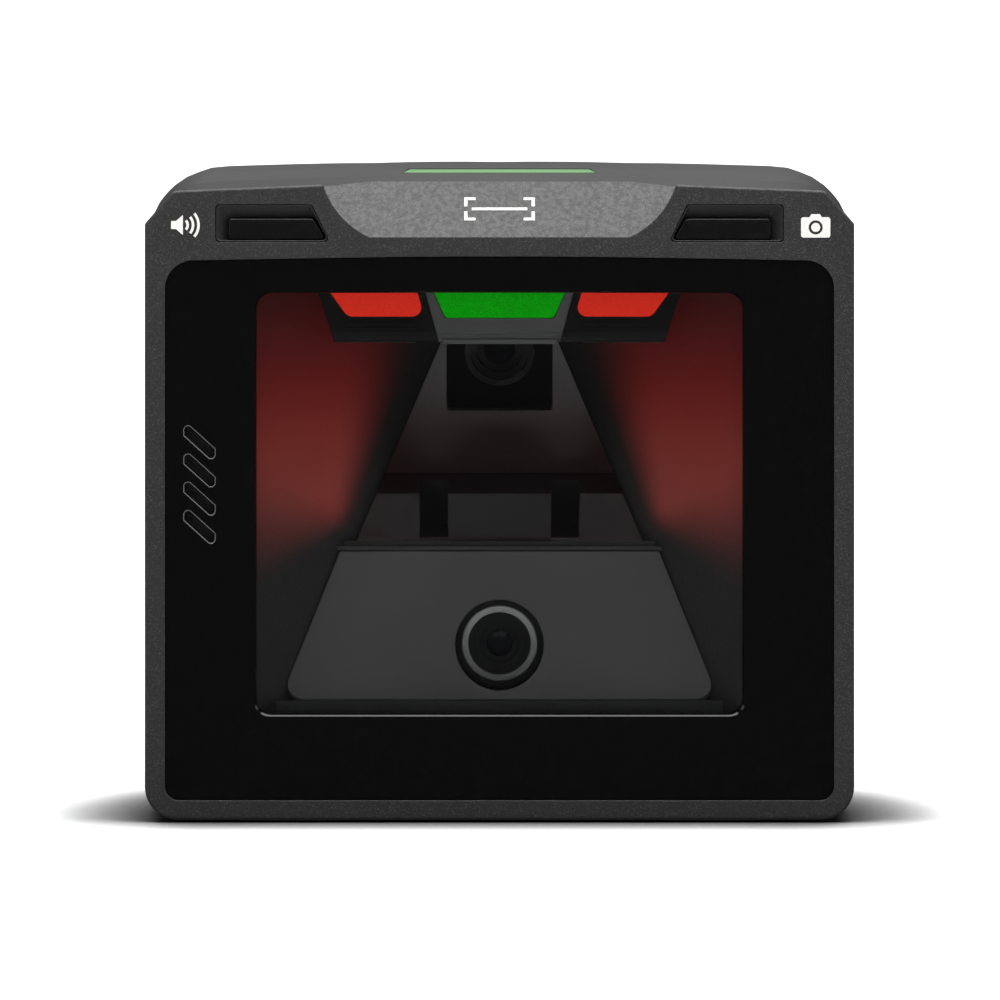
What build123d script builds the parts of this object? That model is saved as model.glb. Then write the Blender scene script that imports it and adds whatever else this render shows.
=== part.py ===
from build123d import *
import math
import os

# Vertical presentation barcode scanner, in millimetres.
# Seen from the front, +X is to the right and +Z is up. +Y runs from the window to the back.
# The origin is under the middle of the scanner.
# All shapes are drawn with the underside of the case at Z = 0, then lifted by STAND.

# Overall size
WIDTH = 150.0
DEPTH = 84.0
STAND = 0.6                 # how far the rubber feet lift the case
FRONT = -DEPTH / 2          # front face of the case
BACK = DEPTH / 2            # back face of the case
HALF = WIDTH / 2
WALL = 2.4                  # case wall
GAP = 0.15                  # clearance around fitted pieces

# Front frame
FRAME_BACK = -28.0
FRAME_SKIN = -38.6          # inner side of the frame's front wall
SHOULDER_LOW = 126.0        # lower end of the cut-off upper corner
SHOULDER_X = 68.9
SHOULDER_HIGH = 133.0
BROW_X = 37.1               # where the top edge meets the scoop
BROW_HIGH = 134.3
CREST_X = 27.5
CREST_HIGH = 135.4
FOOT_RADIUS = 7.0
FRAME_EDGE = 0.6            # rounding of the front edge

# Scoop in the middle of the brow
SCOOP_LOW = 123.1
SCOOP_BACK = -33.0

# Glossy window bezel
BEZEL_X = 70.6
BEZEL_LOW = 4.2
BEZEL_SIDE_HIGH = 118.0
BEZEL_HIGH = 119.3
BEZEL_FRONT = -41.4
BEZEL_RIM = -39.0           # depth of the funnel at the window
BEZEL_BACK = -37.4
WINDOW_X = 51.8
WINDOW_LOW = 22.0
WINDOW_HIGH = 111.8
WINDOW_CORNER = 3.4
GLASS_FRONT = -38.6
GLASS_BACK = -37.0
WINDOW_LIP = 0.35           # chamfer around the window opening

# Speaker slots in the bezel
SLOT_X = -63.5
SLOT_HALF_X = 3.2
SLOT_HALF_Z = 1.48          # half height measured vertically
SLOT_PITCH = 5.97
SLOT_TOP = 79.8
SLOT_COUNT = 4
SLOT_TILT = 42.5
SLOT_LIP = 0.2

# Optics chamber: side walls converge towards the back
CHAMBER_FRONT = -36.4
CHAMBER_BACK = 32.0
WALL_AT_ZERO = 29.3         # half width of the chamber at Y = 0
WALL_SLOPE = 0.612
CHAMBER_SKIN = 1.87         # wall thickness measured along X
CHAMBER_FLOOR = 21.0
CHAMBER_TOP = 113.0

# Panel under the mirror, leaning back
PANEL_Y = -29.5
PANEL_Z = 24.8
PANEL_TILT = 58.6
PANEL_LENGTH = 36.4
PANEL_THICK = 1.8
PANEL_CORNER = 3.7

# Fold mirror
MIRROR_Y = -5.4
MIRROR_Z = 58.0
MIRROR_TILT = 56.0
MIRROR_LENGTH = 65.5
MIRROR_THICK = 2.0

# Lights above the chamber
LIGHT_FRONT = -34.8
LIGHT_NOSE = -25.5          # lower end of the slanted front
LIGHT_REAR = -12.4
LIGHT_LOW = 101.3
LIGHT_NOSE_Z = 103.4
LIGHT_TOP = 118.0
LIGHT_SKIN = 1.5

# Imager above the mirror
IMAGER_Y = 15.9
IMAGER_HALF_X = 12.1
IMAGER_HALF_Y = 12.6
LENS_Z = 118.5
IMAGER_TOP = 129.6

# Colour camera in the panel
CAMERA_Z = 36.1
CAMERA_FRONT = -17.0
CAMERA_HOLE = 9.55

# Buttons in the brow: left one drawn, right one mirrored
BUTTON_TRAVEL = 0.6
BUTTON_FRONT = -41.7
BUTTON_BACK = -37.0
SWITCH_X = 48.0
SWITCH_Z = 125.0
BUTTON_BOARD_Y = -31.0
SWITCH_DEPTH = 2.4
PLUNGER_FRONT = BUTTON_BOARD_Y - SWITCH_DEPTH - BUTTON_TRAVEL - 0.2

# Rear cover
COVER_WIDE = 75.6
RIDGE_Y = -26.6
RIDGE_HIGH = 137.0
COVER_HIGH = 141.0
LIGHT_PIPE_LOW = 137.7
LIGHT_PIPE_HIGH = 138.5
LIGHT_PIPE_BACK = -18.5

# Bottom mounting pattern
INSERT_X = 30.0
INSERT_Y = 15.0
INSERT_BORE = 1.25
INSERT_OUTER = 2.3
INSERT_LOW = 0.2
INSERT_HIGH = 7.2

# Electronics behind the mirror
BOARD_FRONT = 28.0
BOARD_BACK = 29.6
BOARD_X = 40.0
BOARD_LOW = 8.0
BOARD_HIGH = 86.0
PORT_Z = 17.5
HOST_X = -17.0
HOST_HALF = (7.2, 6.6)      # half width and half height of the socket housings
AUX_X = 17.0
AUX_HALF = (7.6, 4.6)
CASE_SCREW_X = 46.0
CASE_SCREW_Z = (16.0, 84.0)
CASE_SCREW_SEAT = 37.0


# ---------------------------------------------------------------- drawing helpers

def facing(y):
    """Plane parallel to the front at depth y, drawn as seen from the front."""
    return Plane(origin=(0, y, 0), x_dir=(1, 0, 0), z_dir=(0, -1, 0))


def slab(sketch, front, back):
    """Prism of a front-view sketch between two depths."""
    return extrude(facing(back) * sketch, amount=back - front, dir=(0, -1, 0))


def bar(sketch, left, right):
    """Prism of a side-view sketch (Y across, Z up) between two X positions."""
    side = Plane(origin=(left, 0, 0), x_dir=(0, 1, 0), z_dir=(1, 0, 0))
    return extrude(side * sketch, amount=right - left, dir=(1, 0, 0))


def plate(sketch, low, high):
    """Prism of a top-view sketch between two heights."""
    return extrude(Plane.XY.offset(low) * sketch, amount=high - low, dir=(0, 0, 1))


def tilted(y, z, angle):
    """Plane leaning back from the horizontal by angle, facing forwards and up."""
    lean = math.radians(angle)
    return Plane(origin=(0, y, z), x_dir=(1, 0, 0), z_dir=(0, -math.sin(lean), math.cos(lean)))


def outline(points, radii):
    """Closed outline with one corner radius for each point."""
    return make_face(FilletPolyline(*points, radius=radii, close=True).edges())


def both_sides(points):
    """The given right-hand points, followed by their mirror images in reverse order."""
    return points + [(-x, z) for x, z in reversed(points) if x != 0]


def symmetric(points, radii):
    """Outline symmetric about X = 0 from its right-hand points, from bottom to top."""
    left = [radius for (x, z), radius in zip(reversed(points), reversed(radii)) if x != 0]
    return outline(both_sides(points), radii + left)


def block(x0, x1, y0, y1, z0, z1):
    """Box between two opposite corners."""
    return Pos((x0 + x1) / 2, (y0 + y1) / 2, (z0 + z1) / 2) * Box(x1 - x0, y1 - y0, z1 - z0)


def rod_y(x, z, radius, front, back):
    """Cylinder along Y."""
    return slab(Pos(x, z) * Circle(radius), front, back)


def rod_z(x, y, radius, low, high):
    """Cylinder along Z."""
    return plate(Pos(x, y) * Circle(radius), low, high)


def tube_y(x, z, outer, inner, front, back):
    """Ring along Y."""
    return rod_y(x, z, outer, front, back) - rod_y(x, z, inner, front - 1, back + 1)


def across(shape):
    """Mirror image in the middle plane."""
    return mirror(shape, about=Plane.YZ)


def pair(shape):
    """A shape and its mirror image."""
    return Compound(children=[shape, across(shape)])


def group(shapes):
    """Several separate solids kept as one sub-part."""
    return Compound(children=list(shapes))


def edges_at_depth(shape, y):
    """Edges that lie in the plane Y = y."""
    return [edge for edge in shape.edges()
            if abs(edge.bounding_box().min.Y - y) < 0.01 and abs(edge.bounding_box().max.Y - y) < 0.01]


# ---------------------------------------------------------------- front frame

def frame_outline(inset=0.0):
    """Outer outline of the front frame, cut off at the shoulders."""
    shape = symmetric(
        [(HALF, 0), (HALF, SHOULDER_LOW), (SHOULDER_X, SHOULDER_HIGH),
         (BROW_X, BROW_HIGH), (CREST_X, CREST_HIGH)],
        [FOOT_RADIUS, 1.2, 1.8, 2.0, 2.0])
    return offset(shape, amount=-inset) if inset else shape


def bezel_outline(grow=0.0):
    """Outline of the glossy bezel, with a faintly arched top."""
    return symmetric(
        [(BEZEL_X + grow, BEZEL_LOW - grow), (BEZEL_X + grow, BEZEL_SIDE_HIGH + grow),
         (0, BEZEL_HIGH + grow)],
        [3.0, 6.0, 2000.0])


def window_outline(grow=0.0):
    """Outline of the scan window."""
    arch = 0.12
    return symmetric(
        [(WINDOW_X + grow, WINDOW_LOW - grow), (WINDOW_X + grow, WINDOW_HIGH - arch + grow),
         (0, WINDOW_HIGH + grow)],
        [WINDOW_CORNER, WINDOW_CORNER, 2000.0])


def scoop_outline():
    """Front view of the scoop: a short floor line and concave flared ends."""
    right = ThreePointArc((CREST_X, SCOOP_LOW), (33.6, 127.6), (BROW_X + 1.0, CREST_HIGH + 1.0))
    left = ThreePointArc((-CREST_X, SCOOP_LOW), (-33.6, 127.6), (-BROW_X - 1.0, CREST_HIGH + 1.0))
    floor = Line((-CREST_X, SCOOP_LOW), (CREST_X, SCOOP_LOW))
    top = Line((-BROW_X - 1.0, CREST_HIGH + 1.0), (BROW_X + 1.0, CREST_HIGH + 1.0))
    return make_face([floor, right, top, left])


def scoop_wedge(shift=0.0):
    """Space in front of the scoop's sloping floor, moved back by shift."""
    slope = (SCOOP_BACK - FRONT) / (CREST_HIGH - SCOOP_LOW)
    reach = 12.0
    profile = Polygon(
        (FRONT - reach + shift, SCOOP_LOW - reach / slope), (FRONT + shift, SCOOP_LOW),
        (SCOOP_BACK + 2 * slope + shift, CREST_HIGH + 2), (FRONT - reach + shift, CREST_HIGH + 2),
        align=None)
    return bar(profile, -HALF, HALF)


def front_frame():
    """Rounded rectangular ring with a thick brow that carries the scoop and the buttons."""
    body = slab(frame_outline(), FRONT, FRAME_BACK)
    body = fillet(edges_at_depth(body, FRONT), FRAME_EDGE)
    body -= slab(frame_outline(WALL), FRAME_SKIN, FRAME_BACK + 1)
    body += slab(frame_outline(WALL / 2), FRAME_SKIN, FRAME_BACK) & scoop_backing()
    body -= slab(bezel_outline(0.1), FRONT - 1, FRAME_SKIN + 1)
    body -= slab(scoop_outline(), FRONT - 1, FRAME_BACK + 1) & scoop_wedge()
    pocket = slab(pocket_outline(GAP), FRONT - 1, FRAME_SKIN + 1)
    pocket += slab(pocket_outline(1.0), FRAME_SKIN, FRAME_BACK)
    body -= pocket
    body -= across(pocket)
    for foot in front_foot_places():
        body -= foot_pad(foot, GAP)
    return body


def scoop_backing():
    """Material under the scoop's floor, so that the wall keeps its thickness there."""
    shell = scoop_wedge(2.6) - scoop_wedge(-0.5)
    return shell & block(-BROW_X - 3, BROW_X + 3, FRONT, FRAME_BACK, SCOOP_LOW - 3, CREST_HIGH + 1)


def scan_pictogram():
    """Generic scan symbol on the scoop: four corner brackets around one line."""
    half_x, half_z, arm, stroke = 7.5, 3.1, 2.4, 0.7
    parts = [Rectangle(2 * half_x - 3.2, stroke)]
    for sx in (-1, 1):
        for sz in (-1, 1):
            parts.append(Pos(sx * (half_x - arm / 2), sz * (half_z - stroke / 2)) * Rectangle(arm, stroke))
            parts.append(Pos(sx * (half_x - stroke / 2), sz * (half_z - arm / 2)) * Rectangle(stroke, arm))
    rise = math.degrees(math.atan2(CREST_HIGH - SCOOP_LOW, SCOOP_BACK - FRONT))
    middle_z = (SCOOP_LOW + CREST_HIGH) / 2
    middle_y = (FRONT + SCOOP_BACK) / 2
    ink = [extrude(tilted(middle_y, middle_z, rise) * part, amount=0.12) for part in parts]
    return Part() + ink


def speaker_icon():
    """Printed loudspeaker symbol beside the left button."""
    z = 125.7
    horn = Pos(-69.4, z) * Polygon(
        (0, -0.85), (1.0, -0.85), (2.5, -2.1), (2.5, 2.1), (1.0, 0.85), (0, 0.85), align=None)
    ink = [horn]
    for radius in (1.5, 2.65, 3.8):
        arc = CenterArc((-67.4, z), radius, -40, 80)
        ink.append(trace(arc, 0.55))
    return group(slab(shape, FRONT - 0.12, FRONT) for shape in ink)


def camera_icon():
    """Printed camera symbol beside the right button."""
    z = 125.2
    body = Pos(66.8, z) * RectangleRounded(6.2, 4.3, 0.5)
    body += Pos(66.8, z + 2.3) * Trapezoid(3.0, 1.0, 60)
    body -= Pos(66.8, z) * Circle(1.5)
    body += Pos(66.8, z) * Circle(0.95)
    return slab(body, FRONT - 0.12, FRONT)


# ---------------------------------------------------------------- bezel and window

def speaker_slot(index):
    """One sound slot: upright ends, slanted long sides and two rounded corners."""
    drop = SLOT_HALF_X * math.tan(math.radians(SLOT_TILT))
    middle = SLOT_TOP - index * SLOT_PITCH
    left, right = SLOT_X - SLOT_HALF_X, SLOT_X + SLOT_HALF_X
    return outline(
        [(left, middle + drop - SLOT_HALF_Z), (right, middle - drop - SLOT_HALF_Z),
         (right, middle - drop + SLOT_HALF_Z), (left, middle + drop + SLOT_HALF_Z)],
        [0.15, 0.8, 0.15, 0.8])


def window_bezel():
    """Glossy shallow funnel around the window, pushed into the frame from behind."""
    land = 0.5
    body = slab(bezel_outline(), BEZEL_FRONT, FRAME_SKIN + 0.1)
    body += slab(bezel_outline(1.2), FRAME_SKIN + 0.1, BEZEL_BACK)
    funnel = [facing(BEZEL_FRONT) * bezel_outline(-land), facing(BEZEL_RIM) * window_outline(WINDOW_LIP)]
    body -= loft(funnel, ruled=True)
    body -= loft([facing(BEZEL_RIM) * window_outline(WINDOW_LIP),
                  facing(BEZEL_RIM + WINDOW_LIP) * window_outline()], ruled=True)
    body -= slab(window_outline(), FRONT, BEZEL_BACK + 1)
    for index in range(SLOT_COUNT):
        body -= slab(speaker_slot(index), FRONT, BEZEL_BACK + 1)
    return chamfer(slot_rims(body), SLOT_LIP)


def slot_rims(body):
    """Front edges of the sound slots in the funnel's sloping left side."""
    middle = SLOT_TOP - SLOT_PITCH * (SLOT_COUNT - 1) / 2
    reach = SLOT_PITCH * SLOT_COUNT / 2 + SLOT_HALF_X + SLOT_HALF_Z
    rims = []
    for edge in body.edges():
        box = edge.bounding_box()
        beside = abs(box.min.X - SLOT_X) < SLOT_HALF_X + 0.1 and abs(box.max.X - SLOT_X) < SLOT_HALF_X + 0.1
        level = abs(box.min.Z - middle) < reach and abs(box.max.Z - middle) < reach
        if beside and level and box.max.Y < FRAME_SKIN and box.max.Y - box.min.Y < 1.5:
            rims.append(edge)
    return rims


def scan_window():
    """Stepped pane: its face fills the opening and its rear step rests on the back of the bezel."""
    pane = slab(window_outline(-GAP), GLASS_FRONT, BEZEL_BACK)
    return pane + slab(window_outline(1.4), BEZEL_BACK, GLASS_BACK)


def window_gasket():
    """Foam ring that seals the glass to the optics chassis."""
    ring = slab(window_outline(2.2), GLASS_BACK, CHAMBER_FRONT)
    return ring - slab(window_outline(-0.2), GLASS_BACK - 1, CHAMBER_FRONT + 1)


# ---------------------------------------------------------------- optics chamber

def wall_x(y, extra=0.0):
    """Half width of the chamber at depth y."""
    return WALL_AT_ZERO - WALL_SLOPE * y + extra


def between_walls(low, high, extra=0.0, front=CHAMBER_FRONT, back=CHAMBER_BACK):
    """Prism of the tapering space between the side walls."""
    plan = Polygon(
        (wall_x(front, extra), front), (wall_x(back, extra), back),
        (-wall_x(back, extra), back), (-wall_x(front, extra), front), align=None)
    return plate(plan, low, high)


def optics_chassis():
    """Window flange, floor and the two converging side walls of the chamber."""
    walls = between_walls(17.5, CHAMBER_TOP, CHAMBER_SKIN) - between_walls(0, CHAMBER_TOP + 1)
    side = Polygon(
        (CHAMBER_FRONT, 17.5), (-26.8, 17.5), (-5.5, 52.5), (-2.0, 55.0), (34.0, 108.0),
        (34.0, CHAMBER_TOP), (CHAMBER_FRONT, CHAMBER_TOP), align=None)
    walls &= bar(side, -HALF, HALF)
    flange = slab(window_outline(4.6), CHAMBER_FRONT, CHAMBER_FRONT + 1.4)
    flange -= slab(window_outline(-0.2), CHAMBER_FRONT - 1, CHAMBER_FRONT + 2)
    sill = Polygon(
        (CHAMBER_FRONT, CHAMBER_FLOOR), (PANEL_Y - 0.7, CHAMBER_FLOOR), (PANEL_Y - 0.7, PANEL_Z - 0.3),
        (PANEL_Y - 0.2, PANEL_Z - 0.3), (PANEL_Y - 0.2, PANEL_Z - 2.6), (-27.4, PANEL_Z - 2.6), (-27.4, 19.4),
        (CHAMBER_FRONT, 19.4), align=None)
    floor = bar(sill, -HALF, HALF) & between_walls(0, 60, 0.5)
    wings = between_walls(CHAMBER_TOP, CHAMBER_TOP + 1.6, CHAMBER_SKIN, back=LIGHT_REAR)
    wings -= block(-41.0, 41.0, FRONT, 0, 100, 130)
    return walls + flange + floor + wings


def tapered_plate(y, z, angle, length, thick, corner, low_margin, high_margin):
    """Leaning plate that fills the width between the side walls, less a margin at each end."""
    run = length * math.cos(math.radians(angle))
    low_x = wall_x(y) - low_margin
    high_x = wall_x(y + run) - high_margin
    shape = symmetric([(low_x, 0), (high_x, length)], [corner, 0])
    return extrude(tilted(y, z, angle) * shape, amount=-thick)


def lower_panel():
    """Panel below the mirror, with the round hole of the colour camera."""
    panel = tapered_plate(PANEL_Y, PANEL_Z, PANEL_TILT, PANEL_LENGTH, PANEL_THICK, PANEL_CORNER, 0.5, 1.0)
    return panel - rod_y(0, CAMERA_Z, CAMERA_HOLE, FRONT, BACK)


def mirror_ledge():
    """Stepped strip that carries the mirror's lower edge."""
    profile = Polygon(
        (-10.1, 56.1), (-10.1, 57.0), (-8.0, 57.0), (-8.0, 58.0), (-5.6, 58.0), (-5.6, 55.0), (-8.4, 55.0),
        align=None)
    return bar(profile, -HALF, HALF) & between_walls(50, 60, -0.1)


def fold_mirror():
    """First-surface mirror that turns the view up to the imager."""
    return tapered_plate(MIRROR_Y, MIRROR_Z, MIRROR_TILT, MIRROR_LENGTH, MIRROR_THICK, 0, 1.25, 1.25)


def mirror_carrier():
    """Ribbed tray behind the mirror."""
    lean = math.radians(MIRROR_TILT)
    gap = MIRROR_THICK + 0.05
    y = MIRROR_Y + gap * math.sin(lean)
    z = MIRROR_Z - gap * math.cos(lean)
    tray = tapered_plate(y, z, MIRROR_TILT, MIRROR_LENGTH - 2, 1.4, 0, 2.6, 2.6)
    for x in (-8.0, 0.0, 8.0):
        rib = extrude(tilted(y, z, MIRROR_TILT) * (Pos(x, 30) * Rectangle(1.2, 56)), amount=-2.6)
        tray += rib
    return tray


def ceiling_plate():
    """Top of the chamber, open for the light housing and the imager."""
    top = between_walls(CHAMBER_TOP, CHAMBER_TOP + 1.6, CHAMBER_SKIN, front=LIGHT_REAR + 0.2)
    return top - imager_opening(100, 130)


# ---------------------------------------------------------------- lights

def light_profile(inset=0.0):
    """Side view of the light housing with its slanted front."""
    return Polygon(
        (LIGHT_FRONT + inset, LIGHT_TOP - inset), (LIGHT_FRONT + inset, LIGHT_TOP - 2.0),
        (LIGHT_NOSE + inset, LIGHT_NOSE_Z + inset), (LIGHT_NOSE + inset, LIGHT_LOW + inset),
        (LIGHT_REAR - inset, LIGHT_LOW + inset), (LIGHT_REAR - inset, LIGHT_TOP - inset), align=None)


def light_front(x_low, x_high):
    """Front view of the housing: sides that close in towards the bottom."""
    return symmetric([(x_low, LIGHT_LOW - 1), (x_high, LIGHT_TOP + 1)], [0, 0])


def slanted_layer(depth_front, depth_back):
    """Layer parallel to the housing's slanted front, between two distances behind it."""
    rise = LIGHT_TOP - 2.0 - LIGHT_NOSE_Z
    run = LIGHT_NOSE - LIGHT_FRONT
    reach = 12.0
    points = []
    for depth, end in ((depth_front, 0), (depth_front, 1), (depth_back, 1), (depth_back, 0)):
        shift = depth * math.hypot(rise, run) / rise
        side = -1 if end == 0 else 1
        y = (LIGHT_FRONT if end == 0 else LIGHT_NOSE) + shift + side * reach * run / rise
        z = (LIGHT_TOP - 2.0 if end == 0 else LIGHT_NOSE_Z) - side * reach
        points.append((y, z))
    return bar(Polygon(*points, align=None), -HALF, HALF)


def red_outline(grow=0.0):
    """Front view of the right-hand red diffuser."""
    return outline(
        [(16.1 - grow, 106.7 - grow), (32.6 + grow, 106.7 - grow), (38.2 + grow, 114.6 + grow),
         (18.4 - grow, 114.6 + grow)],
        [2.0, 2.0, 0.4, 0.4])


def green_outline(grow=0.0):
    """Front view of the green diffuser."""
    return symmetric([(11.6 + grow, 106.4 - grow), (15.3 + grow, 114.6 + grow)], [1.2, 0.4])


def light_housing():
    """Hood that holds the diffusers, with a stepped centre block and a lip along its lower edge."""
    shell = bar(light_profile(), -HALF, HALF) & slab(light_front(35.2, 41.0), FRONT, 0)
    hollow = bar(light_profile(LIGHT_SKIN), -HALF, HALF) & slab(light_front(33.6, 39.2), FRONT, 0)
    centre_front = symmetric([(13.4, 103.2), (17.4, LIGHT_TOP)], [1.5, 0])
    centre = slab(centre_front, FRONT, 0) & slanted_layer(-1.1, LIGHT_SKIN)
    centre &= block(-HALF, HALF, LIGHT_FRONT, 0, LIGHT_LOW, LIGHT_TOP)
    lip_side = block(13.2, 35.4, LIGHT_NOSE - 1.2, LIGHT_NOSE + 1, LIGHT_LOW + 0.2, LIGHT_LOW + 1.2)
    lip_middle = block(-12.2, 12.2, LIGHT_NOSE - 0.9, LIGHT_NOSE + 1, LIGHT_LOW - 0.5, LIGHT_LOW + 0.5)
    body = shell + centre + lip_side + across(lip_side) + lip_middle - hollow
    body -= slab(red_outline(GAP), FRONT, LIGHT_REAR - 3) & slanted_layer(-3, 3)
    body -= across(slab(red_outline(GAP), FRONT, LIGHT_REAR - 3) & slanted_layer(-3, 3))
    body -= slab(green_outline(GAP), FRONT, LIGHT_REAR - 3) & slanted_layer(-3, 3)
    for z in (104.4, 105.4):
        groove = slab(Pos(25.3, z) * Rectangle(15.5, 0.45), FRONT, 0) & slanted_layer(-1, 0.5)
        body -= groove + across(groove)
    body &= between_walls(90, 130, -0.4)
    for x in (-15.0, 15.0):
        body += block(x - 4.4, x + 4.4, -24.5, LIGHT_REAR, LIGHT_LOW, 110.4)
        body -= block(x - 3.2, x + 3.2, -23.3, LIGHT_REAR + 1, LIGHT_LOW - 1, 109.2)
    return body


def diffuser(shape):
    """Translucent plate set into the slanted front."""
    return slab(shape, FRONT, LIGHT_REAR - 3) & slanted_layer(0.2, LIGHT_SKIN + 0.1)


def red_diffuser_right():
    return diffuser(red_outline())


def red_diffuser_left():
    return across(red_diffuser_right())


def green_diffuser():
    return slab(green_outline(), FRONT, LIGHT_REAR - 3) & slanted_layer(-0.8, LIGHT_SKIN + 0.1)


def led_board():
    """Circuit board that closes the light housing from above."""
    plan = Pos(0, -23.6) * RectangleRounded(72, 20.4, 1.5)
    board = plate(plan, LIGHT_TOP, LIGHT_TOP + 1.2)
    for x in (-33.0, 33.0):
        board -= rod_z(x, -17.0, 1.6, LIGHT_TOP - 1, LIGHT_TOP + 3)
    return board


def led_row(places, y):
    """Surface-mounted lamps hanging under the board, inside the hood."""
    return [block(x - 1.4, x + 1.4, y - 1.4, y + 1.4, LIGHT_TOP - LIGHT_SKIN - 1.4, LIGHT_TOP - LIGHT_SKIN)
            for x in places]


def red_leds():
    return group(led_row((-31.0, -25.5, -20.0, 20.0, 25.5, 31.0), -29.0))


def green_leds():
    return group(led_row((-7.0, 0.0, 7.0), -29.0))


# ---------------------------------------------------------------- imager

def imager_opening(low, high):
    """Rectangular opening through which the imager looks down at the mirror."""
    plan = Pos(0, IMAGER_Y) * RectangleRounded(2 * IMAGER_HALF_X, 2 * IMAGER_HALF_Y, 0.8)
    return plate(plan, low, high)


def imager_shroud():
    """Black cup around the imager's lens."""
    low = CHAMBER_TOP + 1.6
    cup = plate(Pos(0, IMAGER_Y) * RectangleRounded(27.4, 28.4, 1.5), low, LENS_Z + 1.6)
    cup -= imager_opening(low - 1, LENS_Z)
    return cup - rod_z(0, IMAGER_Y, 8.0, low, LENS_Z + 3)


def imager_barrel():
    """Threaded lens barrel with stepped front rings."""
    barrel = rod_z(0, IMAGER_Y, 7.9, LENS_Z - 2.0, IMAGER_TOP)
    barrel -= rod_z(0, IMAGER_Y, 6.6, LENS_Z - 3.0, LENS_Z - 0.8)
    barrel -= rod_z(0, IMAGER_Y, 5.2, LENS_Z - 3.0, LENS_Z + 0.6)
    return barrel - rod_z(0, IMAGER_Y, 3.6, LENS_Z - 3.0, IMAGER_TOP - 1.0)


def imager_lens():
    """Front lens element of the imager."""
    dome = Pos(0, IMAGER_Y, LENS_Z + 5.6) * Sphere(6.4)
    return dome & rod_z(0, IMAGER_Y, 3.55, LENS_Z - 1.0, LENS_Z + 3.0)


def imager_board():
    """Sensor board on top of the barrel."""
    return block(-14.0, 14.0, 3.0, 27.6, IMAGER_TOP, IMAGER_TOP + 1.4)


def imager_flex():
    """Flat flexible cable from the sensor board down to the main board."""
    thin = 0.3
    start, bend, back, low = 27.6, 30.6, 35.8, 82.0
    high = IMAGER_TOP + 1.0
    drop = high - 10.0
    outer = [(start, high), (bend, high), (back, drop), (back, low), (BOARD_BACK, low)]
    inner = [(BOARD_BACK, low + thin), (back - thin, low + thin), (back - thin, drop),
             (bend, high - thin), (start, high - thin)]
    return bar(Polygon(*outer, *inner, align=None), -5.0, 5.0)


# ---------------------------------------------------------------- colour camera

def camera_holder():
    """Black notched ring that seats the camera in the panel's hole."""
    ring = tube_y(0, CAMERA_Z, CAMERA_HOLE - 0.1, 8.3, CAMERA_FRONT + 0.3, -9.5)
    for index in range(6):
        angle = math.radians(60 * index - 6.4)
        x = 8.95 * math.cos(angle)
        z = CAMERA_Z + 8.95 * math.sin(angle)
        ring -= rod_y(x, z, 0.35, CAMERA_FRONT, CAMERA_FRONT + 1.2)
    return ring


def camera_ring():
    """Satin grey ring around the camera's glass."""
    ring = tube_y(0, CAMERA_Z, 8.2, 6.75, CAMERA_FRONT, CAMERA_FRONT + 2.0)
    return chamfer(edges_at_depth(ring, CAMERA_FRONT), 0.2)


def camera_barrel():
    """Black stepped barrel inside the ring."""
    barrel = rod_y(0, CAMERA_Z, 8.2, CAMERA_FRONT + 2.0, -7.0)
    barrel += rod_y(0, CAMERA_Z, 6.7, CAMERA_FRONT + 0.6, CAMERA_FRONT + 2.0)
    barrel -= rod_y(0, CAMERA_Z, 5.6, CAMERA_FRONT, CAMERA_FRONT + 1.5)
    barrel -= rod_y(0, CAMERA_Z, 4.2, CAMERA_FRONT, CAMERA_FRONT + 3.0)
    return barrel - rod_y(0, CAMERA_Z, 2.9, CAMERA_FRONT, -8.5)


def camera_lens():
    """Domed front element of the colour camera."""
    dome = Pos(0, CAMERA_FRONT + 9.0, CAMERA_Z) * Sphere(7.0)
    return dome & rod_y(0, CAMERA_Z, 2.85, CAMERA_FRONT, CAMERA_FRONT + 5.0)


def camera_board():
    """Sensor board behind the colour camera."""
    return block(-11.0, 11.0, -7.0, -5.6, CAMERA_Z - 11.0, CAMERA_Z + 11.0)


# ---------------------------------------------------------------- buttons

def pocket_outline(grow=0.0):
    """Front view of the right-hand button pocket, slanted towards the middle."""
    return outline(
        [(35.9 - grow, 122.2 - grow), (59.9 + grow, 122.2 - grow), (59.9 + grow, 129.9 + grow),
         (39.8 - grow, 129.9 + grow)],
        [0.8, 0.8, 0.8, 0.8])


def button_outline(grow=0.0):
    """Front view of the right-hand button."""
    return outline(
        [(36.9 - grow, 122.7 - grow), (57.3 + grow, 122.7 - grow), (57.3 + grow, 127.1 + grow),
         (39.3 - grow, 127.1 + grow)],
        [0.5, 0.7, 0.7, 1.4])


def surround(side):
    """Glossy pocket with bevelled walls that run down to the button."""
    deep = -39.8
    body = slab(pocket_outline(), FRONT + 0.1, FRAME_SKIN + 0.1)
    body += slab(pocket_outline(0.9), FRAME_SKIN + 0.1, BUTTON_BACK - 0.6)
    rim = facing(FRONT + 0.1) * pocket_outline(-0.25)
    body -= loft([rim, facing(deep) * button_outline(0.15)], ruled=True)
    body -= slab(button_outline(0.15), FRONT - 1, BUTTON_BACK + 1)
    return body if side > 0 else across(body)


def button(side):
    """Button cap with a flange behind the surround and a short push stem."""
    cap = slab(button_outline(), BUTTON_FRONT, BUTTON_BACK)
    cap = fillet(edges_at_depth(cap, BUTTON_FRONT), 0.3)
    cap += slab(button_outline(1.0), BUTTON_BACK - 0.5, BUTTON_BACK + 0.7)
    cap += rod_y(SWITCH_X, SWITCH_Z, 1.3, BUTTON_BACK, PLUNGER_FRONT)
    return cap if side > 0 else across(cap)


def button_surround_left():
    return surround(-1)


def button_surround_right():
    return surround(1)


def volume_button():
    return button(-1)


def camera_button():
    return button(1)


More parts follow.
